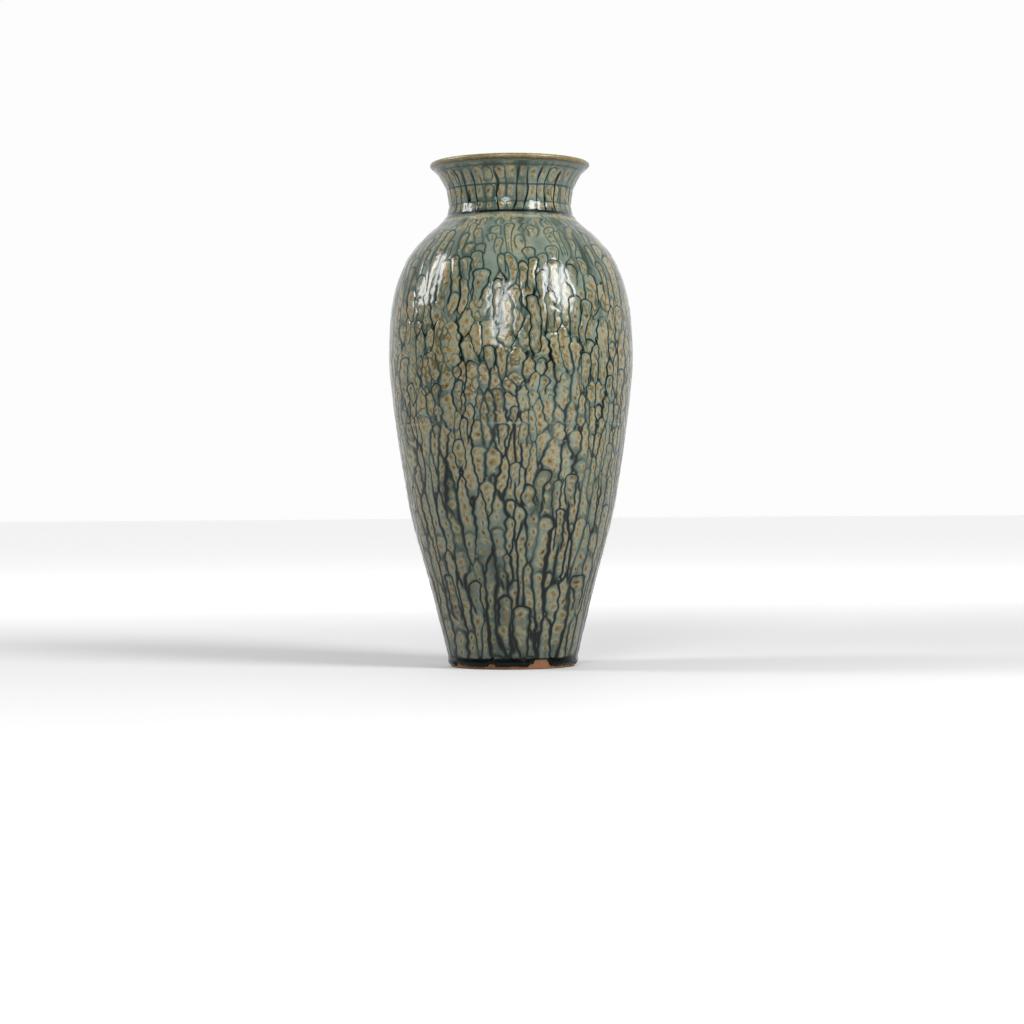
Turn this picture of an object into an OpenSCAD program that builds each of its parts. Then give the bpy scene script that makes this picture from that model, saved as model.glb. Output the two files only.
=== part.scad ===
// Baluster vase with a waisted neck, thrown in sections, luted together and glazed inside and out.
// The foot rests on z = 0, and every piece is a turned shape about the Z axis.

/* [Vase] */
// Height from the resting face to the top of the lip
vase_height = 470; // [400:5:520]
// Diameter of the belly over the glaze
belly_diameter = 228; // [200:2:250]

/* [Clay walls] */
// Thickness of the wall just above the base
wall_at_base = 9; // [7:0.5:10]
// Thickness of the wall at the belly join
wall_at_belly = 6.5; // [5:0.5:8]
// Thickness of the wall at the neck join
wall_at_neck = 5; // [4:0.5:6]

/* [Foot] */
// Height of the foot ring
foot_height = 10; // [8:1:11]
// Width of the foot ring
foot_width = 11; // [8:1:14]
// Bare clay left between the resting face and the glaze roll
bare_foot = 2.8; // [2:0.2:4]
// Rounding of the foot ring's edges
foot_rounding = 0.8; // [0.4:0.1:1.2]

/* [Glaze] */
// Thickness of the outer glaze on the body
coat = 1.2; // [0.8:0.1:1.6]
// Thickness of the glaze inside the vase and around the lip
lining = 0.8; // [0.6:0.1:1]
// Depth of the glaze pool on the floor inside
floor_pool = 1.6; // [1:0.2:2.4]
// Radius of the rolled lower edge of the outer glaze
roll_radius = 3; // [2:0.5:3.5]

/* [Lip and throat] */
// Thickness of the lip, which ends in a half round
lip_thickness = 4.4; // [4:0.2:5]
// Length of the rim glaze down each side of the lip, in steps of the outline
rim_steps = 4; // [2:1:6]
// Diameter of the level throat at the waist of the neck
throat_diameter = 102.4; // [102:0.2:103]

/* [Luted joints] */
// Thickness of the slip between two sections
slip = 0.8; // [0.4:0.2:1.2]
// Height of the tongue on each section's rim
tongue = 2.5; // [1:0.5:3.5]

/* [Hidden] */
$fn = 96;

bare_clay = "#a8683a";
joint_slip = "#c9a982";
inner_glaze = "#6d7d78";
body_glaze = "#4b6b6e";
collar_glaze = "#43595c";
rim_ochre = "#9c8648";
roll_glaze = "#12252b";

// Stations [radius, height] of the glazed outline, drawn for a vase 228 across and 470 tall
drawn_size = [114, 470];
base_stations = [[60.4, 10], [62.2, 17]];
lower_stations = [[69, 45], [79.2, 85], [88.4, 118], [96, 150], [102.5, 190], [107.6, 224]];
upper_stations = [
    [111, 252], [114, 292], [110, 342], [97.4, 378], [81, 399], [68.5, 410], [61, 417.5]
];
neck_stations = [
    [58, 424], [57.2, 430.5], [57.8, 438], [59.7, 445.6], [62.7, 453], [66.6, 459], [70.2, 462.6],
    [73.9, 466.2]
];
stations = concat(base_stations, lower_stations, upper_stations, neck_stations);

// The outline is a smooth curve with this many steps from one station to the next
steps = 5;
growth = [belly_diameter / 2 / drawn_size.x, vase_height / drawn_size.y];

// Steps at which the sections end
base_end = steps * (len(base_stations) - 1);
belly_join = base_end + steps * len(lower_stations);
neck_join = belly_join + steps * len(upper_stations);
lip_end = neck_join + steps * len(neck_stations);
rim_start = lip_end - rim_steps;

function unit(v) = v / norm(v);

function reversed(list) = [for (i = [len(list) - 1:-1:0]) list[i]];

function part_of(list, first, last) = [for (i = [first:last]) list[i]];

// Point a share t of the way from b to c on the smooth curve through a, b, c and d
function smooth(a, b, c, d, t) =
    b + (c - a) * t / 2
    + (2 * a - 5 * b + 4 * c - d) * t * t / 2
    + (3 * b - a - 3 * c + d) * t * t * t / 2;

function station(i) =
    let (s = stations[min(max(i, 0), len(stations) - 1)])
    [s.x * growth.x, s.y * growth.y];

skin = [
    for (i = [0:len(stations) - 2], k = [0:steps - 1])
        smooth(station(i - 1), station(i), station(i + 1), station(i + 2), k / steps),
    station(len(stations) - 1)
];

// Upward direction of the outline at step i
function upward(i) = unit(skin[min(i + 1, lip_end)] - skin[max(i - 1, 0)]);

// Outward direction at step i; the lowest cut is level
function outward(i) = i == 0 ? [1, 0] : [upward(i).y, -upward(i).x];

// The lip is a half round about this centre
lip_centre = skin[lip_end] - lip_thickness / 2 * outward(lip_end);

function coat_at(i) = lookup(i, [[0, coat], [neck_join, coat], [lip_end, lining]]);

function wall_at(i) = lookup(i, [
    [base_end, wall_at_base],
    [belly_join, wall_at_belly],
    [neck_join, wall_at_neck],
    [lip_end, lip_thickness - 2 * lining]
]);

// Outlines of the clay's outside, the clay's inside and the inner glaze
clay = [for (i = [0:lip_end]) skin[i] - coat_at(i) * outward(i)];
hollow = [for (i = [0:lip_end]) clay[i] - wall_at(i) * outward(i)];
inside = [for (i = [0:lip_end]) hollow[i] - lining * outward(i)];

floor_height = hollow[base_end].y;
foot_outer = clay[0].x - 1.3;
foot_inner = foot_outer - foot_width;
// Where the glaze roll ends on the foot ring
roll_end = [foot_outer + 0.3, bare_foot];

// Point on an outline, a short way above step i
function above(line, i, distance) = line[i] + distance * unit(line[i + 1] - line[i]);

// Three corners of a section's rim at step i, tongued upwards, from the outside in
function rim(i, lift) =
    let (outer = above(clay, i, lift), inner = above(hollow, i, lift))
    [outer, (outer + inner) / 2 + tongue * upward(i), inner];

// Half round of the lip, from the outside in
function half_round(radius) = [
    for (a = [0:15:180])
        lip_centre + radius * (cos(a) * outward(lip_end) + sin(a) * upward(lip_end))
];

module turned(outline) {
    rotate_extrude() polygon(outline);
}

// Wall between two joints; the lower one is seated on slip
module wall_section(first, last) {
    turned(concat(
        reversed(rim(first, slip)),
        part_of(clay, first + 1, last - 1),
        rim(last, 0),
        reversed(part_of(hollow, first + 1, last - 1))
    ));
}

module slip_ring(joint) {
    turned(concat(rim(joint, 0), reversed(rim(joint, slip))));
}

module outer_coat(first, last) {
    turned(concat(part_of(skin, first, last), reversed(part_of(clay, first, last))));
}

module foot_ring() {
    color(bare_clay)
        turned([
            [foot_inner + foot_rounding, 0],
            [foot_outer - foot_rounding, 0],
            [foot_outer, foot_rounding],
            roll_end,
            clay[0],
            [foot_inner - foot_rounding, foot_height * growth.y],
            [foot_inner, foot_rounding]
        ]);
}

module base_disc() {
    color(bare_clay)
        turned(concat(
            [[0, clay[0].y]],
            part_of(clay, 0, base_end - 1),
            rim(base_end, 0),
            [[0, floor_height]]
        ));
}

module base_slip_joint() {
    color(joint_slip) slip_ring(base_end);
}

module lower_wall() {
    color(bare_clay) wall_section(base_end, belly_join);
}

module belly_slip_joint() {
    color(joint_slip) slip_ring(belly_join);
}

module upper_wall() {
    color(bare_clay) wall_section(belly_join, neck_join);
}

module neck_slip_joint() {
    color(joint_slip) slip_ring(neck_join);
}

module neck_collar() {
    color(bare_clay)
        turned(concat(
            reversed(rim(neck_join, slip)),
            part_of(clay, neck_join + 1, lip_end - 1),
            half_round(lip_thickness / 2 - lining),
            reversed(part_of(hollow, neck_join + 1, lip_end - 1))
        ));
}

// Glaze over the floor and up the inside of the vase, with the throat left round and level
module liner_glaze() {
    pool_top = floor_height + floor_pool;
    pool_edge = inside[base_end + 1];
    color(inner_glaze)
        difference() {
            turned(concat(
                [[0, floor_height]],
                part_of(hollow, base_end, rim_start),
                reversed(part_of(inside, base_end + 1, rim_start)),
                [[pool_edge.x - 3 * floor_pool, pool_top], [0, pool_top]]
            ));
            translate([0, 0, skin[neck_join].y])
                cylinder(d = throat_diameter, h = skin[rim_start].y - skin[neck_join].y);
        }
}

// Glaze that ran down the foot and set as a rounded edge
module foot_glaze_roll() {
    centre = [skin[0].x + 0.2 - roll_radius, bare_foot + roll_radius];
    color(roll_glaze)
        turned(concat(
            [clay[0], skin[0]],
            [for (a = [0:-15:-75]) centre + roll_radius * [cos(a), sin(a)]],
            [roll_end]
        ));
}

module lower_glaze() {
    color(body_glaze) outer_coat(0, belly_join);
}

module upper_glaze() {
    color(body_glaze) outer_coat(belly_join, neck_join);
}

module neck_glaze() {
    color(collar_glaze) outer_coat(neck_join, rim_start);
}

// Glaze wrapped over the lip, down both sides
module rim_glaze() {
    color(rim_ochre)
        turned(concat(
            part_of(skin, rim_start, lip_end - 1),
            half_round(lip_thickness / 2),
            reversed(part_of(inside, rim_start, lip_end - 1)),
            part_of(hollow, rim_start, lip_end - 1),
            reversed(half_round(lip_thickness / 2 - lining)),
            reversed(part_of(clay, rim_start, lip_end - 1))
        ));
}

foot_ring();
base_disc();
base_slip_joint();
lower_wall();
belly_slip_joint();
upper_wall();
neck_slip_joint();
neck_collar();
liner_glaze();
foot_glaze_roll();
lower_glaze();
upper_glaze();
neck_glaze();
rim_glaze();
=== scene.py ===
"""Looks of the glazed baluster vase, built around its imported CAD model.

The outer glaze is worked out once, on a grid that runs round the vase and up its outline: long
strands of glaze are cut into drops, separate drops lie over them and crowd the shoulder, the gaps
between them carry dark lines, and ochre spots sit inside. Each zone of glaze is then a closed mesh
cut from that grid, with the relief in its shape and the pattern in its attributes. The materials
turn the attributes into colour and gloss.
"""
import math

import bpy
import numpy as np
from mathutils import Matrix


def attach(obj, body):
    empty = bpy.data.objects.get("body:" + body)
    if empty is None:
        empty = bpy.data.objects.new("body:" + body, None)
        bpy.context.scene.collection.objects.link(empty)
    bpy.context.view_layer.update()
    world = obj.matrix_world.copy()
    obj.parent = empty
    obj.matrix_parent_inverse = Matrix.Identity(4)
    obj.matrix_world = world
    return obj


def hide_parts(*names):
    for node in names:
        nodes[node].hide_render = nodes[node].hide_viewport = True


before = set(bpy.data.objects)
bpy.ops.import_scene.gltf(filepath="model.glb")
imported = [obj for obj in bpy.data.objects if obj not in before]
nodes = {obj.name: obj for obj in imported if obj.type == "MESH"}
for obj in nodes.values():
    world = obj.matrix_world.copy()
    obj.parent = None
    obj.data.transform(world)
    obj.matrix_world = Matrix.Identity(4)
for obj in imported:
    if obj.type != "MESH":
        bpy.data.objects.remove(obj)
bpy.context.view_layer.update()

MM = 0.001
SEED = 20
COLUMNS = 1024          # of the glaze grid, round the vase
PITCH = 0.75            # mm between rows of the glaze grid
STEP = math.tau / COLUMNS
SKIN_DEPTH = 1.1        # mm from the glaze's surface to the back of its mesh
BACK_STEP = 8           # columns and rows of the front of a mesh for each one of its back
TOUCHING = 0.3          # mm, rings closer than this touch


# ---------------------------------------------------------------- outlines, read from the CAD model

def rings(name):
    """Radius and height in mm of every ring of vertices of a turned CAD node."""
    mesh = nodes[name].data
    points = np.zeros(len(mesh.vertices) * 3)
    mesh.vertices.foreach_get("co", points)
    points = points.reshape(-1, 3) / MM
    pairs = np.stack([np.hypot(points[:, 0], points[:, 1]), points[:, 2]], 1)
    return np.unique(np.round(pairs, 2), axis=0)


def facing(name):
    """The rings of a glaze node that don't touch the clay behind it, from the lowest up."""
    own = rings(name)
    other = np.vstack([rings(clay_name) for clay_name in CLAY_NODES])
    gaps = np.hypot(own[:, None, 0] - other[None, :, 0], own[:, None, 1] - other[None, :, 1])
    own = own[gaps.min(1) > TOUCHING]
    return own[np.argsort(own[:, 1])]


def thinned(line, gap=0.4):
    """The line without points closer than gap to the one before."""
    kept = [line[0]]
    for point in line[1:]:
        if np.hypot(*(point - kept[-1])) > gap:
            kept.append(point)
    return np.array(kept)


def smoothed(line, pitch):
    """Arc length and points, pitch apart, of a smooth curve through the line's points."""
    at = np.r_[0, np.cumsum(np.hypot(*np.diff(line, axis=0).T))]
    slope = np.gradient(line, at, axis=0)
    wanted = np.linspace(0, at[-1], int(round(at[-1] / pitch)) + 1)
    i = np.clip(np.searchsorted(at, wanted, side="right") - 1, 0, len(at) - 2)
    span = (at[i + 1] - at[i])[:, None]
    u = (wanted - at[i])[:, None] / span
    points = (
        (2 * u**3 - 3 * u**2 + 1) * line[i]
        + (u**3 - 2 * u**2 + u) * span * slope[i]
        + (3 * u**2 - 2 * u**3) * line[i + 1]
        + (u**3 - u**2) * span * slope[i + 1]
    )
    return wanted, points


def outward(points):
    """Unit normals of a line that runs upwards, pointing away from the axis."""
    along = np.gradient(points, axis=0)
    along /= np.hypot(*along.T)[:, None]
    return np.stack([along[:, 1], -along[:, 0]], 1)


ZONES = ["lower_glaze", "upper_glaze", "neck_glaze"]
CLAY_NODES = [
    "foot_ring", "base_disc", "base_slip_joint", "lower_wall", "belly_slip_joint", "upper_wall",
    "neck_slip_joint", "neck_collar"
]
skin = thinned(np.vstack([facing(zone) for zone in ZONES]))
arc, curve = smoothed(skin, PITCH)
normal = outward(curve)
radius, height = curve.T
ROWS = len(arc)
angle = np.arange(COLUMNS) * STEP
level = np.repeat(height[:, None], COLUMNS, 1)

foot_top = skin[0, 1]
join_height = facing("upper_glaze")[0, 1]
crease_height = facing("upper_glaze")[-1, 1]


# ---------------------------------------------------------------- tools for patterns on the grid

def noise(rng, across, up):
    """Smooth noise of unit deviation, with features that many columns across and rows up."""
    white = rng.standard_normal((ROWS, COLUMNS))
    u = np.fft.fftfreq(COLUMNS)[None] * across
    v = np.fft.fftfreq(ROWS)[:, None] * up
    soft = np.fft.ifft2(np.fft.fft2(white) * np.exp(-2 * (math.pi * np.hypot(u, v)) ** 2)).real
    return (soft / soft.std()).astype(np.float32)


def uneven(rng, across, up, mean, spread, low, high):
    """Smooth noise of that mean and deviation, cut off at low and high."""
    return np.clip(mean + spread * noise(rng, across, up), low, high)


def ramp(low, high, value):
    """0 at low, 1 at high and smooth between; low may be the larger."""
    u = np.clip((value - low) / (high - low), 0, 1)
    return u * u * (3 - 2 * u)


def bell(value, centre, width):
    """1 at the centre, and falling to 0 on both sides of it."""
    return np.exp(-(((value - centre) / width) ** 2))


def by_height(z, table):
    """Reads a table of (height, value) pairs."""
    return np.interp(z, *zip(*table))


def softened(field, times):
    """The field with each point averaged with its four neighbours, that many times."""
    for _ in range(times):
        beside = np.roll(field, 1, 1) + np.roll(field, -1, 1)
        taller = np.pad(field, ((1, 1), (0, 0)), "edge")
        field = (2 * field + beside + taller[:-2] + taller[2:]) / 6
    return field


def window(at, s, up, side):
    """Rows, columns and offsets in mm of the grid round a point, or None off the grid."""
    first = np.searchsorted(arc, s - up)
    last = np.searchsorted(arc, s + up)
    if last <= first:
        return None
    reach = min(int(side / (radius[first:last].min() * STEP)) + 1, COLUMNS // 2 - 1)
    middle = int(round(at / STEP))
    columns = np.arange(middle - reach, middle + reach + 1)
    du = (columns * STEP - at)[None] * radius[first:last, None]
    dv = (arc[first:last] - s)[:, None]
    return np.ix_(np.arange(first, last), columns % COLUMNS), du, dv


def stamp(field, warp, at, s, wide, long, strength, tilt):
    """Adds one soft oval spot to a field."""
    found = window(at, s, 2.2 * long, 2.2 * wide + 3)
    if found is None:
        return
    spot, du, dv = found
    du = du + warp[spot] + tilt * dv
    field[spot] = np.maximum(field[spot], strength * np.exp(-((du / wide) ** 2) - (dv / long) ** 2))


# ---------------------------------------------------------------- sizes of the strands and drops

# Tables of (height in mm, value). First the half width and half length in mm of the room that a
# separate drop takes, the share of the width it fills, and the share of the rooms that are filled
HALF_WIDTH = [
    (10, 5.9), (120, 5.8), (200, 5.3), (224, 4.7), (240, 5.0), (300, 5.8), (345, 6.0), (375, 5.6),
    (400, 5.0), (412, 4.6)
]
HALF_LENGTH = [
    (10, 24), (60, 25), (120, 20), (190, 15), (222, 8), (232, 8), (255, 13), (300, 17), (345, 17),
    (365, 15), (385, 12), (400, 9), (412, 5)
]
FILL = [
    (10, 0.84), (120, 0.86), (200, 0.90), (240, 0.95), (335, 0.97), (355, 0.80), (385, 0.68),
    (412, 0.62)
]
SEPARATE = [(10, 0.14), (200, 0.16), (235, 0.30), (300, 0.12), (335, 0.25), (352, 0.95), (412, 1.0)]

# Half width and half length of a strand, and the length of the drops it is cut into, in mm
STRAND_WIDTH = [
    (10, 5.1), (120, 4.8), (200, 4.1), (224, 3.9), (260, 4.5), (310, 5.9), (345, 6.4), (412, 6.0)
]
STRAND_LENGTH = [(10, 52), (130, 42), (200, 24), (235, 16), (280, 24), (330, 28), (412, 20)]
DROP_LENGTH = [(10, 62), (100, 64), (180, 52), (224, 34), (260, 42), (320, 50), (360, 40)]

# Length in mm of one bead of a strand, and how far beads widen a separate drop, as a share
BEAD_LENGTH = [(10, 11.5), (120, 10.5), (224, 8.0), (300, 9.5), (345, 10.5)]
BEADING = [(10, 0.15), (200, 0.13), (260, 0.12), (345, 0.12), (380, 0.05)]

# How dark the lines between drops are, and how far in mm they spread
DARKNESS = [(10, 1.0), (130, 0.97), (220, 0.85), (300, 0.85), (345, 0.82), (370, 0.50), (412, 0.32)]
LINE_SPREAD = [(10, 1.95), (60, 1.75), (130, 1.4), (200, 1.1), (330, 1.0), (360, 1.6), (412, 2.0)]

# How pale the drops are, the width in mm over which they pale inwards, and their relief in mm
TAN = [(10, 0.50), (35, 0.75), (70, 0.92), (200, 1.0), (345, 1.0), (375, 0.8), (412, 0.7)]
FADE = [(10, 3.2), (190, 2.5), (250, 1.7), (345, 1.4), (412, 2.0)]
DOME = [(10, 0.34), (200, 0.30), (260, 0.22), (412, 0.20), (430, 0.30)]

# Rows of drops on the neck: height and half height in mm. Grooves: height in mm and strength
NECK_ROWS = [(453.2, 6.4), (436.9, 6.2), (423.9, 3.6)]
NECK_COLUMNS = 38
NECK_LINES_FADE = (462, 452)        # mm, heights where the lines of the neck begin and are full
GROOVES = [(444.5, 0.50), (428.9, 0.42), (422.6, 0.25), (460.9, 0.30)]
GROOVE_WIDTH = 0.75                 # mm

TRIES = 30000           # random places tried for strands, and as many for separate drops
WIDTH_SCATTER = 0.17    # of the logarithm of a strand's or drop's width
LENGTH_SCATTER = 0.38   # of the logarithm of its length
STRAND_CROWD = 0.64     # how near each other strands may be; at 1 their rooms would just touch
DROP_CROWD = 0.74       # the same for separate drops
STRANDS_END = 75        # mm below the crease, the highest middle of a strand
DROPS_END = 4.5         # mm below the crease, the highest middle of a drop on the body
REACH = 20.0            # mm, the farthest that a strand or an arch is felt
FAR = 30.0              # mm, stands for no strand in reach
CORNER = 0.9            # mm, how softly the corners between three strands are rounded
STRAND_WAVE = 14        # mm of a strand in each radian of its bend
DROP_TURN = 2.2         # radians of bend from the middle of a drop to its end
SHORTEST = 8            # mm, the shortest drop that a strand is cut into
OPEN_FROM = 105         # mm below the crease, where strands begin to end in the open
OPEN_FULL = 90          # mm below the crease, where all of them do
OPEN_LINE = 1.8         # mm outside a strand that ends in the open, where its dark line runs

on_neck = ramp(crease_height, crease_height + 3, level)


# ---------------------------------------------------------------- placing strands and drops

def scatter(rng, low, high, half_widths, half_lengths, crowd):
    """Picks places between two heights at random, none too close to another.

    Returns one row for each place: angle, arc, half width, half length.
    """
    share = np.cumsum(radius * ((height >= low) & (height <= high)))
    s = np.interp(rng.random(TRIES), share / share[-1], arc)
    at = rng.random(TRIES) * math.tau
    z = np.interp(s, arc, height)
    r = np.interp(s, arc, radius)
    wide = by_height(z, half_widths) * rng.lognormal(0, WIDTH_SCATTER, TRIES)
    long = by_height(z, half_lengths) * rng.lognormal(0, LENGTH_SCATTER, TRIES)
    kept = np.zeros((4, TRIES))
    count = 0
    for i in range(TRIES):
        du = np.abs(kept[0, :count] - at[i])
        du = np.minimum(du, math.tau - du) * r[i]
        dv = s[i] - kept[1, :count]
        apart = (du / (wide[i] + kept[2, :count])) ** 2 + (dv / (long[i] + kept[3, :count])) ** 2
        if count and apart.min() < crowd:
            continue
        kept[:, count] = at[i], s[i], wide[i], long[i]
        count += 1
    return kept[:, :count].T


def body_strands(rng):
    """Long runs of glaze, side by side from the shoulder to the foot."""
    high = crease_height - STRANDS_END
    strands = []
    for at, s, wide, long in scatter(rng, foot_top, high, STRAND_WIDTH, STRAND_LENGTH, STRAND_CROWD):
        strands.append({
            "angle": at,
            "arc": s,
            "width": wide,
            "half": long - 0.6 * wide,
            "bend": rng.normal(0, 0.9),
            "phase": rng.uniform(0, 12),
            "beading": rng.uniform(0.04, 0.20),
            "bead": by_height(np.interp(s, arc, height), BEAD_LENGTH) * rng.uniform(0.85, 1.2),
        })
    return strands


def body_drops(rng):
    """Separate drops: many on the shoulder, and a few over the strands below it."""
    high = crease_height - DROPS_END
    drops = []
    for at, s, wide, long in scatter(rng, foot_top, high, HALF_WIDTH, HALF_LENGTH, DROP_CROWD):
        z = np.interp(s, arc, height)
        if rng.random() > by_height(z, SEPARATE):
            continue
        top = wide * by_height(z, FILL)
        drops.append({
            "angle": at,
            "arc": s,
            "half": max(long - 0.5 * wide, 0.8),
            "top": top,
            "foot": top * rng.uniform(0.5, 0.85),
            "bead": rng.uniform(8.5, 13),
            "beading": by_height(z, BEADING) * rng.uniform(0.4, 1.3),
            "phase": rng.uniform(0, 12),
            "bend": rng.normal(0, 0.9),
            "fade": min(rng.uniform(5, 13), 0.9 * long),
            "dark": by_height(z, DARKNESS) * rng.uniform(0.8, 1.08),
            "line": by_height(z, LINE_SPREAD) * rng.uniform(0.75, 1.2),
            "tan": by_height(z, TAN) * (1 if rng.random() > 0.05 else 0.5) * rng.uniform(0.8, 1.1),
        })
    return drops


def neck_drops(rng):
    """Rows of short drops on the neck, in columns that line up; a few are left out."""
    drops = []
    shift = rng.normal(0, 0.06, NECK_COLUMNS)
    for z, half in NECK_ROWS:
        for k in range(NECK_COLUMNS):
            if rng.random() < 0.08:
                continue
            drops.append({
                "angle": math.tau * (k + shift[k] + rng.normal(0, 0.05)) / NECK_COLUMNS,
                "arc": np.interp(z, height, arc) + rng.normal(0, 0.5),
                "half": max(half - 3.6, 0.6),
                "top": rng.uniform(3.9, 4.7),
                "foot": rng.uniform(3.6, 4.5),
                "bead": rng.uniform(9, 12),
                "beading": 0.04,
                "phase": rng.uniform(0, 4),
                "bend": rng.normal(0, 0.25),
                "fade": 2.5,
                "dark": rng.uniform(0.1, 0.5),
                "line": rng.uniform(0.8, 1.2),
                "tan": rng.uniform(0.65, 1.0),
            })
    return drops


# ---------------------------------------------------------------- shapes of strands and drops

def beads(piece, dv):
    """How far beads widen a strand or drop, dv mm up from its middle, as a share."""
    return piece["beading"] * np.cos(math.tau * (dv - piece["phase"]) / piece["bead"])


def strand_bend(strand, dv):
    """Sideways bend in mm of a strand, dv mm up from its middle."""
    return strand["bend"] * np.sin(dv / STRAND_WAVE + strand["phase"])


def drop_bend(drop, dv):
    """Sideways bend in mm of a drop, dv mm up from its middle."""
    return drop["bend"] * np.sin(DROP_TURN * dv / max(drop["half"], 6) + drop["phase"])


def share_out(strands, warp):
    """Signed distances to the three nearest strands, and which strand is the nearest.

    A strand has the outline of a lens with beaded sides, and tapers sooner towards its foot.
    """
    near = np.full((3, ROWS, COLUMNS), FAR, np.float32)
    owner = np.full((ROWS, COLUMNS), -1)
    for number, strand in enumerate(strands):
        found = window(strand["angle"], strand["arc"], strand["half"] + REACH, REACH + 4)
        if found is None:
            continue
        spot, du, dv = found
        du = du + warp[spot] + strand_bend(strand, dv)
        place = np.clip(dv / strand["half"], -1, 1)
        size = 0.8 - 1.1 * np.maximum(-place, 0) ** 4 - 1.1 * np.maximum(place, 0) ** 9
        size = size + beads(strand, dv)
        past_end = 0.5 * (dv - place * strand["half"])
        d = (np.hypot(du, past_end) - strand["width"] * size).astype(np.float32)
        a, b, c = near[0][spot], near[1][spot], near[2][spot]
        near[0][spot] = np.minimum(a, d)
        near[1][spot] = np.minimum(b, np.maximum(a, d))
        near[2][spot] = np.minimum(c, np.maximum(b, d))
        owner[spot] = np.where(d < a, number, owner[spot])
    return near, owner


def gap_to_edge(near):
    """Half the way in mm from a point to the boundary of its strand, rounded where boundaries meet."""
    nearer = np.exp((near[0] - near[1]) / CORNER) + np.exp((near[0] - near[2]) / CORNER)
    return -0.5 * CORNER * np.log(nearer)


def uprightness(edge):
    """1 where the nearest boundary runs up the vase, 0 where it runs round it."""
    across = softened((np.gradient(edge, axis=1) / (radius[:, None] * STEP)) ** 2, 4)
    up = softened((np.gradient(edge, axis=0) / PITCH) ** 2, 4)
    return across / (across + up + 0.001)


def drops_in_strands(rng, strands, owner, edge):
    """Cuts each strand into drops with arched tops.

    Returns the way down in mm from the arch above each point, the way up from the arch below it,
    and 1 where there is a drop, 0 over the last one.
    """
    below, above = np.full((2, ROWS, COLUMNS), REACH, np.float32)
    inside = np.zeros((ROWS, COLUMNS), np.float32)
    for number, strand in enumerate(strands):
        found = window(strand["angle"], strand["arc"], strand["half"] + 14, 22)
        if found is None:
            continue
        spot, _, dv = found
        long = by_height(np.interp(strand["arc"], arc, height), DROP_LENGTH)
        tops = [strand["half"] + 9]
        while tops[-1] > -strand["half"] - 40:
            tops.append(tops[-1] - max(long * rng.lognormal(0, 0.35), SHORTEST))
        tops = np.array(tops[::-1])
        inward = np.clip(edge[spot] / (1.6 * strand["width"]), 0, 1)
        v = dv + 1.5 * strand["width"] * (1 - np.sqrt(1 - (1 - inward) ** 2))
        upper = np.searchsorted(tops, v)
        free = upper == len(tops)
        upper = np.clip(upper, 1, len(tops) - 1)
        mine = owner[spot] == number
        below[spot] = np.where(mine & ~free, np.maximum(tops[upper] - v, 0), below[spot])
        above[spot] = np.where(mine, np.where(free, v - tops[-1], v - tops[upper - 1]), above[spot])
        inside[spot] = np.where(mine & ~free, 1, inside[spot])
    return below, np.maximum(above, 0), inside


def lay_strands(rng, strands, warp):
    """The line, the pale glaze and the dome of the strands, and 1 inside their drops."""
    near, owner = share_out(strands, warp)
    edge = gap_to_edge(near)
    below, above, inside = drops_in_strands(rng, strands, owner, edge)
    open_top = ramp(crease_height - OPEN_FROM, crease_height - OPEN_FULL, level)
    inside *= (1 - on_neck) * (1 - open_top * ramp(OPEN_LINE - 0.4, OPEN_LINE + 0.4, near[0]))

    spread = by_height(level, LINE_SPREAD) * uneven(rng, 6, 45, 0.85, 0.25, 0.4, 1.5)
    dark = by_height(level, DARKNESS) * uneven(rng, 6, 30, 0.84, 0.22, 0.35, 1.1)
    side = bell(np.maximum(edge, 0), 0, spread) * inside
    side *= 0.35 + 0.65 * ramp(0.1, 0.6, uprightness(edge))
    side = np.maximum(side, open_top * bell(near[0], OPEN_LINE, spread))
    arch = np.maximum(bell(above, 0, 1.4 * spread), inside * bell(below, 0, 0.8))
    arch *= uneven(rng, 8, 10, 0.62, 0.22, 0.2, 1) * ramp(-1, 1.5, edge)
    line = dark * np.maximum(side, arch) * (1 - on_neck)

    foot_fade = ramp(-2.0, 15.0, above)
    thin_edge = 0.35 * spread + 1.9 * (1 - foot_fade)
    to_open_line = OPEN_LINE - near[0]
    edge = np.minimum(edge, edge + open_top * (to_open_line - edge))
    core = ramp(0, by_height(level, FADE), edge - thin_edge)
    pale = core * ramp(0.3, 2.8, below) * ramp(0.0, 0.45, foot_fade) * by_height(level, TAN) * inside
    body = ramp(0.4 * spread, 1.4 + 0.8 * spread, edge)
    dome = body * ramp(0, 2.2, below) * ramp(0, 5, above) * inside
    return line, pale, dome, inside


def drop_shape(drop, warp):
    """Grid window of a drop, the signed distance to its outline in mm and the height over its middle."""
    reach = drop["top"] + 5
    found = window(drop["angle"], drop["arc"], drop["half"] + reach, reach + 4)
    if found is None:
        return None
    spot, du, dv = found
    du = du + warp[spot] + drop_bend(drop, dv)
    place = np.clip(dv / drop["half"], -1, 1)
    size = drop["foot"] + (drop["top"] - drop["foot"]) * (place + 1) / 2
    return spot, np.hypot(du, dv - place * drop["half"]) - size * (1 + beads(drop, dv)), dv


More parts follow.
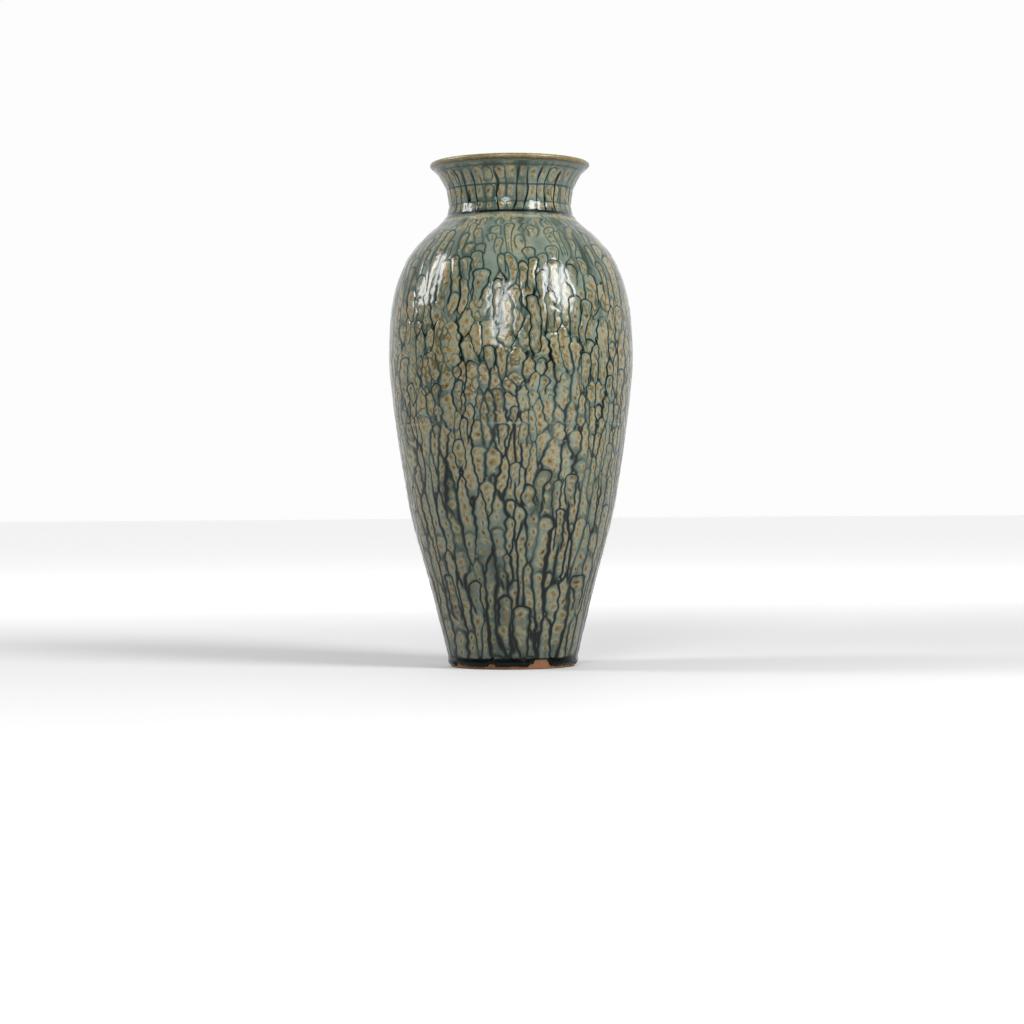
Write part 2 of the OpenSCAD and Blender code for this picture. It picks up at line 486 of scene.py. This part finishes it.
def lay_drops(drops, warp, line, pale, dome):
    """Lays drops over the line, the pale glaze and the dome, from the top down.

    Each one fades out at its foot, and a dark line hugs its sides and its rounded top.
    """
    for drop in sorted(drops, key=lambda d: -d["arc"] - d["half"]):
        shape = drop_shape(drop, warp)
        if shape is None:
            continue
        spot, d, dv = shape
        low_end = -drop["half"] - drop["foot"]
        present = ramp(low_end, low_end + drop["fade"], dv)
        cover = ramp(0.8, -0.5, d) * present
        beyond = d - 0.5
        halo = bell(beyond, 0, np.where(beyond > 0, drop["line"], 0.8))
        halo *= drop["dark"] * ramp(low_end - 2, low_end + 0.6 * drop["fade"], dv)
        tan = ramp(0.0, -2.6, d) * ramp(low_end, low_end + 1.7 * drop["fade"], dv) * drop["tan"]
        line[spot] = np.maximum(line[spot] * (1 - cover), halo * (1 - cover))
        pale[spot] = pale[spot] * (1 - np.maximum(cover, halo)) + cover * tan
        dome[spot] = dome[spot] * (1 - np.maximum(cover, 0.8 * halo)) + cover * ramp(0.3, -2.4, d)


# ---------------------------------------------------------------- the glaze

def drop_spots(rng, drops, warp, field):
    """Adds ochre spots, in a chain down the middle of each drop."""
    for drop in drops:
        r = np.interp(drop["arc"], arc, radius)
        half, top = drop["half"], drop["top"]
        dv = half + rng.uniform(-1, 1.5)
        while dv > -half - 0.5:
            count = 1 + int(top > 3.6 and rng.random() < 0.35)
            for _ in range(count):
                du = -drop_bend(drop, dv)
                du += rng.normal(0, 0.16 if count == 1 else 0.36) * top
                at, s = drop["angle"] + du / r, drop["arc"] + dv + rng.normal(0, 0.5)
                wide, long = rng.uniform(1.2, 2.0), rng.uniform(1.8, 3.2)
                strength = rng.uniform(0.6, 1.0) * min(drop["tan"] + 0.1, 1)
                stamp(field, warp, at, s, wide, long, strength, rng.normal(0, 0.3))
            dv -= rng.uniform(4.0, 7.5)


def strand_spots(rng, strands, warp, field, glow):
    """Adds an ochre spot in each bead of each strand, and a wider glow round it."""
    for strand in strands:
        r = np.interp(strand["arc"], arc, radius)
        top = strand["half"] + 3.0
        dv = top - (top - strand["phase"]) % strand["bead"]
        while dv > -strand["half"] - 1:
            du = -strand_bend(strand, dv) + rng.normal(0, 0.20) * strand["width"]
            at, s = strand["angle"] + du / r, strand["arc"] + dv
            wide, long, tilt = rng.uniform(1.3, 2.1), rng.uniform(2.0, 3.3), rng.normal(0, 0.3)
            stamp(field, warp, at, s, wide, long, rng.uniform(0.55, 1.0), tilt)
            stamp(glow, warp, at, s, wide + 2.2, long + 1.2, 1, tilt)
            if rng.random() < 0.45:
                beside = at + rng.normal(0, 1.5) / r
                stamp(field, warp, beside, s + 0.5 * strand["bead"], 1.2, 2.0, 0.6, tilt)
            dv -= strand["bead"]


def sideways_wander(rng):
    """How far in mm the pattern wanders sideways; less on the neck."""
    wander = 1.7 * noise(rng, 12, 20) + 0.75 * noise(rng, 6, 9)
    on_body = ramp(crease_height + 2, crease_height - 8, level)
    return (wander * (0.3 + 0.7 * on_body)).astype(np.float32)


def shoulder_runs(rng):
    """Soft dark runs that fan out over the shoulder."""
    shoulder = bell(level, crease_height - 45, 38) * (1 - on_neck)
    return ramp(0.7, 2.2, noise(rng, 4, 20) + 0.25 * noise(rng, 12, 12)) * shoulder


def neck_lines(rng):
    """Dark lines between the columns of drops on the neck."""
    turns = angle[None] * NECK_COLUMNS / math.tau
    turns = turns + 0.12 * noise(rng, 6, 9) + 0.20 * noise(rng, 22, 36)
    off = np.abs(turns % 1 - 0.5) * math.tau * radius[:, None] / NECK_COLUMNS
    lines = bell(off, 0, uneven(rng, 9, 14, 0.8, 0.25, 0.3, 1.3))
    strength = uneven(rng, 10, 22, 0.75, 0.25, 0.1, 1)
    return lines * (strength * ramp(*NECK_LINES_FADE, level + 2 * noise(rng, 14, 60)))


def thick_streaks_and_foot_shade(rng):
    """Soft streaks of thicker glaze between the drops, and more of it towards the foot: partly thicker
    glaze there, partly painted shade on the lower body.
    """
    streak_and_foot_shade = 0.55 + 0.28 * noise(rng, 4, 40) + 0.15 * noise(rng, 20, 30) - 0.40 * ramp(200, 40, level)
    return np.clip(streak_and_foot_shade, 0, 1)


def fine_wrinkles(rng, dome):
    """Fine wrinkles inside the wide drops of the upper body."""
    wrinkle = np.abs(noise(rng, 2.6, 3.4) + 0.4 * noise(rng, 9, 14))
    wrinkle = ramp(0.48, 0.10, wrinkle) * ramp(join_height - 12, join_height + 20, level) * (1 - on_neck)
    wrinkle *= uneven(rng, 8, 10, 0.60, 0.35, 0, 0.9) * ramp(0.1, 0.5, dome)
    return wrinkle


def mottled(rng, pale, line):
    """The pale glaze made patchy, with pale patches between the drops of the shoulder and the neck."""
    patch = np.clip(0.86 + 0.18 * noise(rng, 16, 26) + 0.12 * noise(rng, 5, 6), 0, 1.1)
    above_body = ramp(crease_height - 60, crease_height - 30, level)
    mottle = above_body * uneven(rng, 7, 9, 0.20, 0.22, 0, 0.6) * ramp(0.45, 0.1, line)
    return np.clip(np.maximum(pale * patch, mottle), 0, 1)


def thrown_grooves(wander):
    """Grooves that run round the neck."""
    groove = np.zeros((ROWS, COLUMNS), np.float32)
    for z, depth in GROOVES:
        groove = np.maximum(groove, depth * bell(level + wander, z, GROOVE_WIDTH))
    return groove


def pooled(rng):
    """Dark glaze that pooled in the crease under the neck and ran down to the foot."""
    crease = np.clip(1.3 * bell(level, crease_height + 1.6, 1.6), 0, 1)
    foot = ramp(foot_top + 2.5 + uneven(rng, 9, 500, 0, 2, -2, 5), foot_top - 1, level)
    return np.clip(crease + foot, 0, 1)


def glaze_pattern():
    """Every field of the outer glaze on the grid. The order of the random draws is part of the look."""
    rng = np.random.default_rng(SEED)
    warp = sideways_wander(rng)
    strands = body_strands(rng)
    line, pale, dome, inside = lay_strands(rng, strands, warp)
    drops = body_drops(rng) + neck_drops(rng)
    lay_drops(drops, warp, line, pale, dome)

    spot, glow = np.zeros((2, ROWS, COLUMNS), np.float32)
    drop_spots(rng, drops, warp, spot)
    strand_spots(rng, strands, warp, spot, glow)
    spot = spot * ramp(0.12, 0.45, pale)
    round_spots = 1 - 0.5 * inside * (1 - ramp(0.15, 0.8, glow))
    pale = pale * round_spots
    dome = dome * (0.4 + 0.6 * round_spots)

    line = np.maximum(line, 0.36 * shoulder_runs(rng) * ramp(0.6, 0.1, pale))
    columns = neck_lines(rng)
    line = np.maximum(line, columns * on_neck)
    pale = pale * (1 - 0.9 * columns * on_neck)
    streak_and_foot_shade = thick_streaks_and_foot_shade(rng)
    wrinkle = fine_wrinkles(rng, dome)
    pale = mottled(rng, pale, line)

    wander = 0.35 * noise(rng, 40, 200)
    groove = thrown_grooves(wander)
    pool = pooled(rng)
    line = np.clip(np.maximum(line, groove), 0, 1)
    pale = pale * (1 - groove) * (1 - pool)
    ridge = bell(level + wander, crease_height - 2.8, 1.6)
    pale = np.clip(pale + 0.5 * ridge, 0, 1)
    line = line * (1 - 0.8 * ridge)
    band = bell(level + 0.6 * wander, join_height, 0.8) * uneven(rng, 20, 60, 0.2, 0.4, 0, 0.8)

    swell = 0.05 * noise(rng, 6, 6) + 0.015 * noise(rng, 2.2, 2.2)
    throwing = 0.05 * noise(rng, 900, 12)
    relief = (
        by_height(level, DOME) * dome - 0.12 * line - 0.07 * wrinkle + 0.04 * spot
        - 0.22 * groove + throwing + swell * (0.4 + 0.6 * dome)
        + 0.6 * bell(level, crease_height, 1.5)
    )
    return {
        "line": line, "pale": pale, "spot": spot, "wrinkle": wrinkle,
        "streak_and_foot_shade": streak_and_foot_shade, "pool": pool, "band": band, "relief": relief,
    }


# ---------------------------------------------------------------- meshes

def make_object(name, points, faces, corner, material, fields=None):
    """A closed mesh from points in mm, smooth but for the edges between two points marked in corner.

    Each of the fields becomes an attribute of its points.
    """
    mesh = bpy.data.meshes.new(name)
    mesh.vertices.add(len(points))
    mesh.vertices.foreach_set("co", (points * MM).astype(np.float32).ravel())
    sizes = np.concatenate([np.full(len(f), f.shape[1]) for f in faces])
    corners = np.concatenate([f.ravel() for f in faces])
    mesh.loops.add(len(corners))
    mesh.loops.foreach_set("vertex_index", corners.astype(np.int32))
    mesh.polygons.add(len(sizes))
    mesh.polygons.foreach_set("loop_start", np.r_[0, np.cumsum(sizes)[:-1]].astype(np.int32))
    mesh.polygons.foreach_set("loop_total", sizes.astype(np.int32))
    mesh.update(calc_edges=True)
    mesh.validate()
    mesh.polygons.foreach_set("use_smooth", np.ones(len(mesh.polygons), bool))
    ends = np.zeros(len(mesh.edges) * 2, np.int32)
    mesh.edges.foreach_get("vertices", ends)
    ends = ends.reshape(-1, 2)
    mesh.edges.foreach_set("use_edge_sharp", corner[ends[:, 0]] & corner[ends[:, 1]])
    for key, values in (fields or {}).items():
        layer = mesh.attributes.new(key, "FLOAT", "POINT")
        layer.data.foreach_set("value", values.astype(np.float32).ravel())
    mesh.materials.append(material)
    made = bpy.data.objects.new(name, mesh)
    bpy.context.scene.collection.objects.link(made)
    return made


def turned_grid(line_r, line_z, columns):
    """Points of a grid of rings, with column 0 at the back.

    line_r and line_z have one value for each row, or one for each row and column.
    """
    turn = np.arange(columns) * math.tau / columns
    r = np.broadcast_to(line_r.reshape(len(line_r), -1), (len(line_r), columns))
    z = np.broadcast_to(line_z.reshape(len(line_z), -1), (len(line_z), columns))
    return np.stack([r * -np.sin(turn), r * np.cos(turn), z], 2).reshape(-1, 3)


def quads(rows, columns, start=0):
    """Faces of a grid that closes round; they look outwards when the rows run upwards."""
    i, j = np.meshgrid(np.arange(rows - 1), np.arange(columns), indexing="ij")
    beside = (j + 1) % columns
    row = start + i * columns
    next_row = row + columns
    return np.stack([row + j, next_row + j, next_row + beside, row + beside], 2).reshape(-1, 4)


def closing_rim(front, back):
    """Triangles between a ring of the front and the coarser ring behind it."""
    fan = np.stack([front, np.roll(front, -1), np.repeat(back, BACK_STEP)], 1)
    corners = front[BACK_STEP * (np.arange(len(back)) + 1) % COLUMNS]
    return np.concatenate([fan, np.stack([corners, np.roll(back, -1), back], 1)])


def shell(name, rows, fields, material):
    """A zone of the outer glaze: its relief in front, a plain coarse back, and closed rims."""
    columns = COLUMNS // BACK_STEP
    front = curve[rows][:, None] + fields["relief"][rows][..., None] * normal[rows][:, None]
    front_points = turned_grid(front[..., 0], front[..., 1], COLUMNS)
    count = len(front)
    back_rows = np.linspace(0, count - 1, max(count // BACK_STEP, 2)).round().astype(int)
    back = (curve[rows] - SKIN_DEPTH * normal[rows])[np.unique(back_rows)]
    points = np.concatenate([front_points, turned_grid(back[:, 0], back[:, 1], columns)])

    start = len(front_points)
    low_rings = np.arange(COLUMNS), start + np.arange(columns)
    high_rings = start - COLUMNS + np.arange(COLUMNS), len(points) - columns + np.arange(columns)
    faces = [
        quads(count, COLUMNS),
        quads(len(back), columns, start)[:, ::-1],
        closing_rim(*low_rings),
        closing_rim(*high_rings)[:, ::-1],
    ]
    corner = np.zeros(len(points), bool)
    corner[np.concatenate(low_rings + high_rings)] = True
    own = {
        key: np.r_[values[rows].ravel(), np.zeros(len(points) - start)]
        for key, values in fields.items() if key != "relief"
    }
    return make_object(name, points, faces, corner, material, own)


# Places where the rolled glaze stops short: degrees round from the front, half width, height in mm
GAPS = [
    (25, 10, 7.4), (-20, 3.2, 3.2), (-58, 6, 2.6), (72, 4, 2.0), (108, 9, 5.5), (152, 4, 2.4),
    (-150, 12, 6.6), (-104, 5, 3.4)
]
# Waves of the rolled edge: how many round the foot, and their height in mm
ROLL_WAVES = [(7, 0.25), (13, 0.25), (29, 0.22), (61, 0.18), (113, 0.10)]
ROLL_COLUMNS = 720
ROLL_STEPS = 16         # rings from the bottom of the roll to its top
ROLL_BEAD = 2.6         # mm, height of the rounded edge
ROLL_SWELL = 0.25       # mm that the roll stands past the CAD roll, at most
ROLL_LOWEST = 1.2       # mm under the CAD roll that the edge reaches, before it is lifted
ROLL_LAP = 0.6          # mm that the roll covers of the glaze above it
ROLL_BURIED = 0.35      # mm from the clay's surface to the back of the roll


def roll_lift(turn):
    """How far in mm the rolled edge is lifted, by waves all round and by gaps."""
    rng = np.random.default_rng(SEED + 1)
    jitter = np.zeros(ROLL_COLUMNS)
    for waves, size in ROLL_WAVES:
        jitter += size * np.sin(waves * turn + rng.uniform(0, 6.3))
    from_front = np.degrees(turn) - 180
    lift = 0.7 + jitter
    for middle, half, rise in GAPS:
        off = (from_front - middle + 180) % 360 - 180
        gap = ramp(1.35, 0.55, np.abs(off + 3 * jitter) / half)
        lift = np.maximum(lift, rise * gap + 0.5 * jitter)
    return lift


def foot_roll(material):
    """Glaze that ran down the foot and set as a rounded, uneven edge with gaps in it."""
    foot = rings("foot_ring")
    clay_line = foot[foot[:, 0] > foot[:, 0].max() - 1.6]
    clay_line = clay_line[np.argsort(clay_line[:, 1])]
    roll = rings("foot_glaze_roll")

    def clay_radius(z):
        return np.interp(z, clay_line[:, 1], clay_line[:, 0])

    low, high = roll[:, 1].min() - ROLL_LOWEST, foot_top + ROLL_LAP
    lift = roll_lift(np.arange(ROLL_COLUMNS) * math.tau / ROLL_COLUMNS)
    bottom = np.clip(low + lift, low + 0.2, high - 1.6)
    span = high - bottom
    z = bottom + np.sin(np.linspace(0, math.pi / 2, ROLL_STEPS))[:, None] ** 1.5 * span

    # At its top the roll is as deep as the glaze above it. Its bead is deeper where the roll is tall
    top_depth = np.interp(high, height, radius) - clay_radius(high)
    full_depth = roll[:, 0].max() + ROLL_SWELL - clay_radius(low + 3)
    full_depth = top_depth + (full_depth - top_depth) * ramp(2.5, 7, span)
    bead = np.minimum(ROLL_BEAD, 0.6 * span)
    rise = np.clip((z - bottom) / bead, 0, 1)
    depth = full_depth * np.sqrt(1 - (1 - rise) ** 2)
    above_bead = np.clip((z - bottom - bead) / (span - bead), 0, 1)
    depth = depth + (top_depth + 0.05 - depth) * ramp(0, 1, above_bead)

    # The rings go up the front and down the back, and close on the first one
    clay = clay_radius(z)
    grid_r = np.concatenate([clay + depth, clay[::-1] - ROLL_BURIED])
    points = turned_grid(grid_r, np.concatenate([z, z[::-1]]), ROLL_COLUMNS)
    faces = quads(len(grid_r) + 1, ROLL_COLUMNS) % len(points)
    return make_object("seen_foot_glaze_roll", points, [faces], np.zeros(len(points), bool), material)


# ---------------------------------------------------------------- materials

class Graph:
    """A small helper that writes shader nodes for one material."""

    def __init__(self, name):
        self.material = bpy.data.materials.new(name)
        self.material.use_nodes = True
        self.tree = self.material.node_tree
        self.shader = self.tree.nodes["Principled BSDF"]

    def link(self, source, socket):
        if isinstance(source, (int, float)):
            socket.default_value = source
        elif isinstance(source, tuple):
            socket.default_value = (*source, 1.0)
        else:
            self.tree.links.new(source, socket)

    def attribute(self, name):
        node = self.tree.nodes.new("ShaderNodeAttribute")
        node.attribute_name = name
        return node.outputs["Fac"]

    def place(self):
        return self.tree.nodes.new("ShaderNodeTexCoord").outputs["Object"]

    def along(self, axis):
        split = self.tree.nodes.new("ShaderNodeSeparateXYZ")
        self.tree.links.new(self.place(), split.inputs[0])
        return split.outputs[axis]

    def math(self, kind, a, b=0.0):
        node = self.tree.nodes.new("ShaderNodeMath")
        node.operation = kind
        self.link(a, node.inputs[0])
        self.link(b, node.inputs[1])
        return node.outputs[0]

    def span(self, value, low, high, to_low=0.0, to_high=1.0):
        node = self.tree.nodes.new("ShaderNodeMapRange")
        node.interpolation_type = "SMOOTHSTEP"
        self.link(value, node.inputs["Value"])
        node.inputs["From Min"].default_value = low
        node.inputs["From Max"].default_value = high
        node.inputs["To Min"].default_value = to_low
        node.inputs["To Max"].default_value = to_high
        return node.outputs["Result"]

    def noise(self, scale, detail=3.0, rough=0.55, stretch=(1, 1, 1)):
        spread = self.tree.nodes.new("ShaderNodeMapping")
        spread.inputs["Scale"].default_value = stretch
        self.tree.links.new(self.place(), spread.inputs["Vector"])
        node = self.tree.nodes.new("ShaderNodeTexNoise")
        node.inputs["Scale"].default_value = scale
        node.inputs["Detail"].default_value = detail
        node.inputs["Roughness"].default_value = rough
        self.tree.links.new(spread.outputs[0], node.inputs["Vector"])
        return node.outputs["Fac"]

    def mix(self, amount, a, b):
        node = self.tree.nodes.new("ShaderNodeMix")
        node.data_type = "RGBA"
        self.link(amount, node.inputs["Factor"])
        self.link(a, node.inputs["A"])
        self.link(b, node.inputs["B"])
        return node.outputs["Result"]

    def bump(self, value, distance):
        node = self.tree.nodes.new("ShaderNodeBump")
        node.inputs["Strength"].default_value = 1.0
        node.inputs["Distance"].default_value = distance
        self.tree.links.new(value, node.inputs["Height"])
        self.tree.links.new(node.outputs[0], self.shader.inputs["Normal"])

    def set(self, **values):
        for key, value in values.items():
            self.link(value, self.shader.inputs[key.replace("_", " ")])


GAIN = 0.64    # between display colours and surface colours, under the studio light


def colour(hex_code):
    """Linear surface colour that shows as about #rrggbb."""
    parts = [int(hex_code[i:i + 2], 16) / 255 for i in (1, 3, 5)]
    return tuple(GAIN * (c / 12.92 if c < 0.04045 else ((c + 0.055) / 1.055) ** 2.4) for c in parts)


def outer_glaze_material():
    """Glossy glaze in the colours of the pattern: dark lines, grey-green, tan drops, ochre spots."""
    g = Graph("outer_glaze")
    line, pale = g.attribute("line"), g.attribute("pale")
    spot, wrinkle = g.attribute("spot"), g.attribute("wrinkle")
    streak_and_foot_shade, pool, band = g.attribute("streak_and_foot_shade"), g.attribute("pool"), g.attribute("band")
    fine = g.noise(900, 4, 0.6)
    mid = g.noise(220, 3, 0.55)

    thin = g.mix(mid, colour("#667368"), colour("#808c80"))
    thick = g.mix(mid, colour("#3d4a41"), colour("#56635a"))
    # The streak field also darkens the lower body: partly thicker glaze, partly painted shade
    base = g.mix(streak_and_foot_shade, thick, thin)
    speckle = g.span(fine, 0.36, 0.64)
    edge = g.mix(speckle, colour("#787a66"), colour("#9a9c83"))
    tan = g.mix(speckle, colour("#75684a"), colour("#a09373"))
    patchy = g.math("MULTIPLY", pale, g.span(mid, 0.25, 0.6, 0.66, 1.0))
    base = g.mix(g.span(patchy, 0.08, 0.60), base, edge)
    base = g.mix(g.span(patchy, 0.30, 0.85), base, tan)
    base = g.mix(g.span(wrinkle, 0.0, 0.6, 0.0, 0.85), base, colour("#454a3b"))
    broken = g.math("MULTIPLY", spot, g.span(fine, 0.3, 0.7, 0.8, 1.15))
    base = g.mix(g.span(broken, 0.10, 0.55, 0.0, 0.8), base, colour("#74633a"))
    base = g.mix(g.span(broken, 0.58, 0.85, 0.0, 0.9), base, colour("#3d2a12"))
    base = g.mix(g.span(line, 0.0, 0.5), base, colour("#2a3930"))
    base = g.mix(g.span(line, 0.3, 0.78), base, colour("#040704"))
    # Darker towards the foot by height: partly thicker glaze there, partly painted shade on the lower
    # body, which faces down and away from the light
    base = g.mix(g.span(g.along("Z"), 0.26, 0.02, 0.0, 0.20), base, colour("#0b130e"))
    base = g.mix(pool, base, colour("#030505"))
    base = g.mix(g.math("MULTIPLY", band, 0.6), base, colour("#8d958a"))

    rough = g.span(fine, 0.3, 0.7, 0.05, 0.13)
    rough = g.math("ADD", rough, g.math("MULTIPLY", spot, 0.12))
    g.set(Base_Color=base, Roughness=rough, IOR=1.5, Specular_IOR_Level=0.3)
    g.bump(g.math("ADD", g.math("MULTIPLY", mid, 0.6), g.math("MULTIPLY", fine, 0.4)), 0.0001)
    return g.material


def rim_material():
    """Ochre where the glaze ran thin over the lip, fading to the grey of the neck below it."""
    g = Graph("rim_ochre_glaze")
    fine = g.noise(1300, 4, 0.65)
    mid = g.noise(160, 3, 0.6)
    up = g.math("ADD", g.along("Z"), g.math("MULTIPLY", mid, 0.003))
    ochre = g.mix(mid, colour("#5f4f27"), colour("#8c7c4e"))
    ochre = g.mix(g.span(fine, 0.55, 0.68), ochre, colour("#b3a983"))
    ochre = g.mix(g.span(fine, 0.45, 0.33), ochre, colour("#33260e"))
    grey = g.mix(mid, colour("#4a5650"), colour("#717c72"))
    grey = g.mix(g.span(fine, 0.5, 0.7), grey, colour("#8a8466"))
    brown = g.span(up, 0.4655, 0.4670)
    base = g.mix(brown, grey, colour("#4a3a18"))
    base = g.mix(g.span(up, 0.4665, 0.4678), base, ochre)
    g.set(Base_Color=base, Roughness=g.span(fine, 0.3, 0.7, 0.14, 0.32), IOR=1.5)
    g.bump(fine, 0.0002)
    return g.material


def roll_material():
    """Nearly black glaze where it is thick."""
    g = Graph("pooled_glaze")
    mid = g.noise(90, 3, 0.5)
    base = g.mix(mid, colour("#020303"), colour("#0e1412"))
    base = g.mix(g.span(mid, 0.62, 0.75), base, colour("#3a3a26"))
    g.set(Base_Color=base, Roughness=g.span(mid, 0.3, 0.7, 0.05, 0.12))
    g.set(IOR=1.52, Specular_IOR_Level=0.14)
    g.bump(mid, 0.0002)
    return g.material


def clay_material():
    """Coarse orange-buff stoneware with grog and turning marks."""
    g = Graph("bare_clay")
    fine = g.noise(1600, 5, 0.7)
    mid = g.noise(240, 3, 0.6)
    turning = g.noise(900, 3, 0.6, stretch=(0.03, 0.03, 1))
    base = g.mix(mid, colour("#6b4226"), colour("#8f6240"))
    base = g.mix(g.span(fine, 0.56, 0.70), base, colour("#b08a62"))
    base = g.mix(g.span(fine, 0.42, 0.30), base, colour("#3a2414"))
    g.set(Base_Color=base, Roughness=g.span(mid, 0.3, 0.7, 0.7, 0.9), IOR=1.45)
    g.bump(g.math("ADD", g.math("MULTIPLY", fine, 0.5), turning), 0.0004)
    return g.material


def slip_material():
    """Paler, finer clay that joins the thrown sections."""
    g = Graph("joint_slip")
    fine = g.noise(1200, 4, 0.6)
    base = g.mix(fine, colour("#a98259"), colour("#d1b48c"))
    g.set(Base_Color=base, Roughness=g.span(fine, 0.3, 0.7, 0.75, 0.92), IOR=1.45)
    g.bump(fine, 0.0003)
    return g.material


def liner_material():
    """Plain grey-green glaze inside, with soft runs."""
    g = Graph("inner_glaze")
    fine = g.noise(900, 4, 0.6)
    runs = g.noise(130, 3, 0.5, stretch=(1, 1, 0.22))
    base = g.mix(runs, colour("#4c5a54"), colour("#7d8a80"))
    base = g.mix(g.span(fine, 0.56, 0.72), base, colour("#8c8465"))
    g.set(Base_Color=base, Roughness=g.span(fine, 0.3, 0.7, 0.12, 0.26), IOR=1.5)
    g.bump(runs, 0.0005)
    return g.material


# ---------------------------------------------------------------- studio

def aim(thing, target):
    """Turns a camera or light, which look along -Z, towards a point."""
    step = np.array(target) - np.array(thing.location)
    flat = math.hypot(step[0], step[1])
    thing.rotation_euler = (math.atan2(flat, -step[2]), 0, math.atan2(-step[0], step[1]))


def softbox(name, azimuth, elevation, distance, size, radiance, centre):
    """A rectangular light; azimuth 0 is in front of the vase and 90 is to its right."""
    data = bpy.data.lights.new(name, "AREA")
    data.shape = "RECTANGLE"
    data.size, data.size_y = size
    data.energy = radiance * math.pi * size[0] * size[1]
    lamp = bpy.data.objects.new(name, data)
    bpy.context.scene.collection.objects.link(lamp)
    a, e = math.radians(azimuth), math.radians(elevation)
    way = np.array([math.sin(a) * math.cos(e), -math.cos(a) * math.cos(e), math.sin(e)])
    lamp.location = np.array(centre) + distance * way
    aim(lamp, centre)
    lamp.visible_camera = False
    return lamp


CAMERA_DISTANCE = 2.309             # m from the axis of the vase
CAMERA_HEIGHT = 0.1486              # m above its foot
CAMERA_LENS = 86.7                  # mm
CAMERA_SENSOR = 36                  # mm
CAMERA_ROLL = 0.4                   # degrees
HORIZON_ABOVE_CENTRE = 5 / 1024     # as a share of the picture's width


def make_camera():
    """The camera of the photo; it looks level, and a shift puts the horizon where it belongs."""
    data = bpy.data.cameras.new("camera")
    data.lens = CAMERA_LENS
    data.sensor_width = CAMERA_SENSOR
    data.shift_y = -HORIZON_ABOVE_CENTRE
    camera = bpy.data.objects.new("camera", data)
    bpy.context.scene.collection.objects.link(camera)
    camera.location = (0, -CAMERA_DISTANCE, CAMERA_HEIGHT)
    camera.rotation_euler = (math.pi / 2, math.radians(CAMERA_ROLL), 0)
    bpy.context.scene.camera = camera


def make_studio():
    """A room that is bright behind the vase and dim in front of it, a pale floor whose far part glows
    with painted light, and three windows.
    """
    scene = bpy.context.scene
    scene.view_settings.view_transform = "Standard"
    world = bpy.data.worlds.new("studio")
    scene.world = world
    world.use_nodes = True
    tree = world.node_tree
    place = tree.nodes.new("ShaderNodeTexCoord")
    split = tree.nodes.new("ShaderNodeSeparateXYZ")
    room = tree.nodes.new("ShaderNodeMapRange")
    room.interpolation_type = "SMOOTHSTEP"
    for key, number in (("From Min", -0.3), ("From Max", 0.85), ("To Min", 0.16), ("To Max", 0.98)):
        room.inputs[key].default_value = number
    tree.links.new(place.outputs["Generated"], split.inputs[0])
    tree.links.new(split.outputs["Y"], room.inputs["Value"])
    tree.links.new(room.outputs[0], tree.nodes["Background"].inputs["Color"])

    g = Graph("floor")
    grain = g.noise(3, 2, 0.5)
    near = g.mix(grain, (0.46, 0.46, 0.465), (0.50, 0.50, 0.50))
    far = g.mix(grain, (0.90, 0.90, 0.905), (0.94, 0.94, 0.94))
    away = g.span(g.along("Y"), 0.1, 2.4)
    # Further out the floor glows: painted light, so that the floor fades into the bright room
    g.set(Base_Color=g.mix(away, near, far), Roughness=0.7, Emission_Color=(0.97, 0.97, 0.98))
    g.set(Emission_Strength=g.math("MULTIPLY", away, 0.45))
    bpy.ops.mesh.primitive_circle_add(vertices=96, radius=30, fill_type="NGON")
    floor = bpy.context.object
    floor.name = "floor"
    floor.data.materials.append(g.material)

    centre = (0, 0, 0.33)
    softbox("window_left", -92, 29, 2.2, (0.65, 1.15), 16, centre)
    softbox("window_front", -9, 19, 2.6, (0.75, 1.10), 18, centre)
    softbox("window_right", 50, 29, 2.2, (0.85, 1.15), 24, centre)


# ---------------------------------------------------------------- the vase

make_camera()
make_studio()
clay = clay_material()
glaze = outer_glaze_material()
pattern = glaze_pattern()

join_row = int(np.argmin(abs(height - join_height)))
crease_row = int(np.argmin(abs(height - crease_height)))
zone_rows = {
    "lower_glaze": slice(0, join_row + 1),
    "upper_glaze": slice(join_row, crease_row + 1),
    "neck_glaze": slice(crease_row, ROWS),
}
for zone, rows in zone_rows.items():
    piece = shell("seen_" + zone, rows, pattern, glaze)
    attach(piece, "root")
    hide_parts(zone)

roll_piece = foot_roll(roll_material())
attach(roll_piece, "root")
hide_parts("foot_glaze_roll")

NODE_MATERIALS = {
    "rim_glaze": rim_material(),
    "liner_glaze": liner_material(),
    "foot_ring": clay,
    "base_disc": clay,
    "lower_wall": clay,
    "upper_wall": clay,
    "neck_collar": clay,
}
slip = slip_material()
for name, node in nodes.items():
    if name in ZONES or name == "foot_glaze_roll":
        continue
    for slot in node.material_slots:
        slot.material = NODE_MATERIALS.get(name, slip)
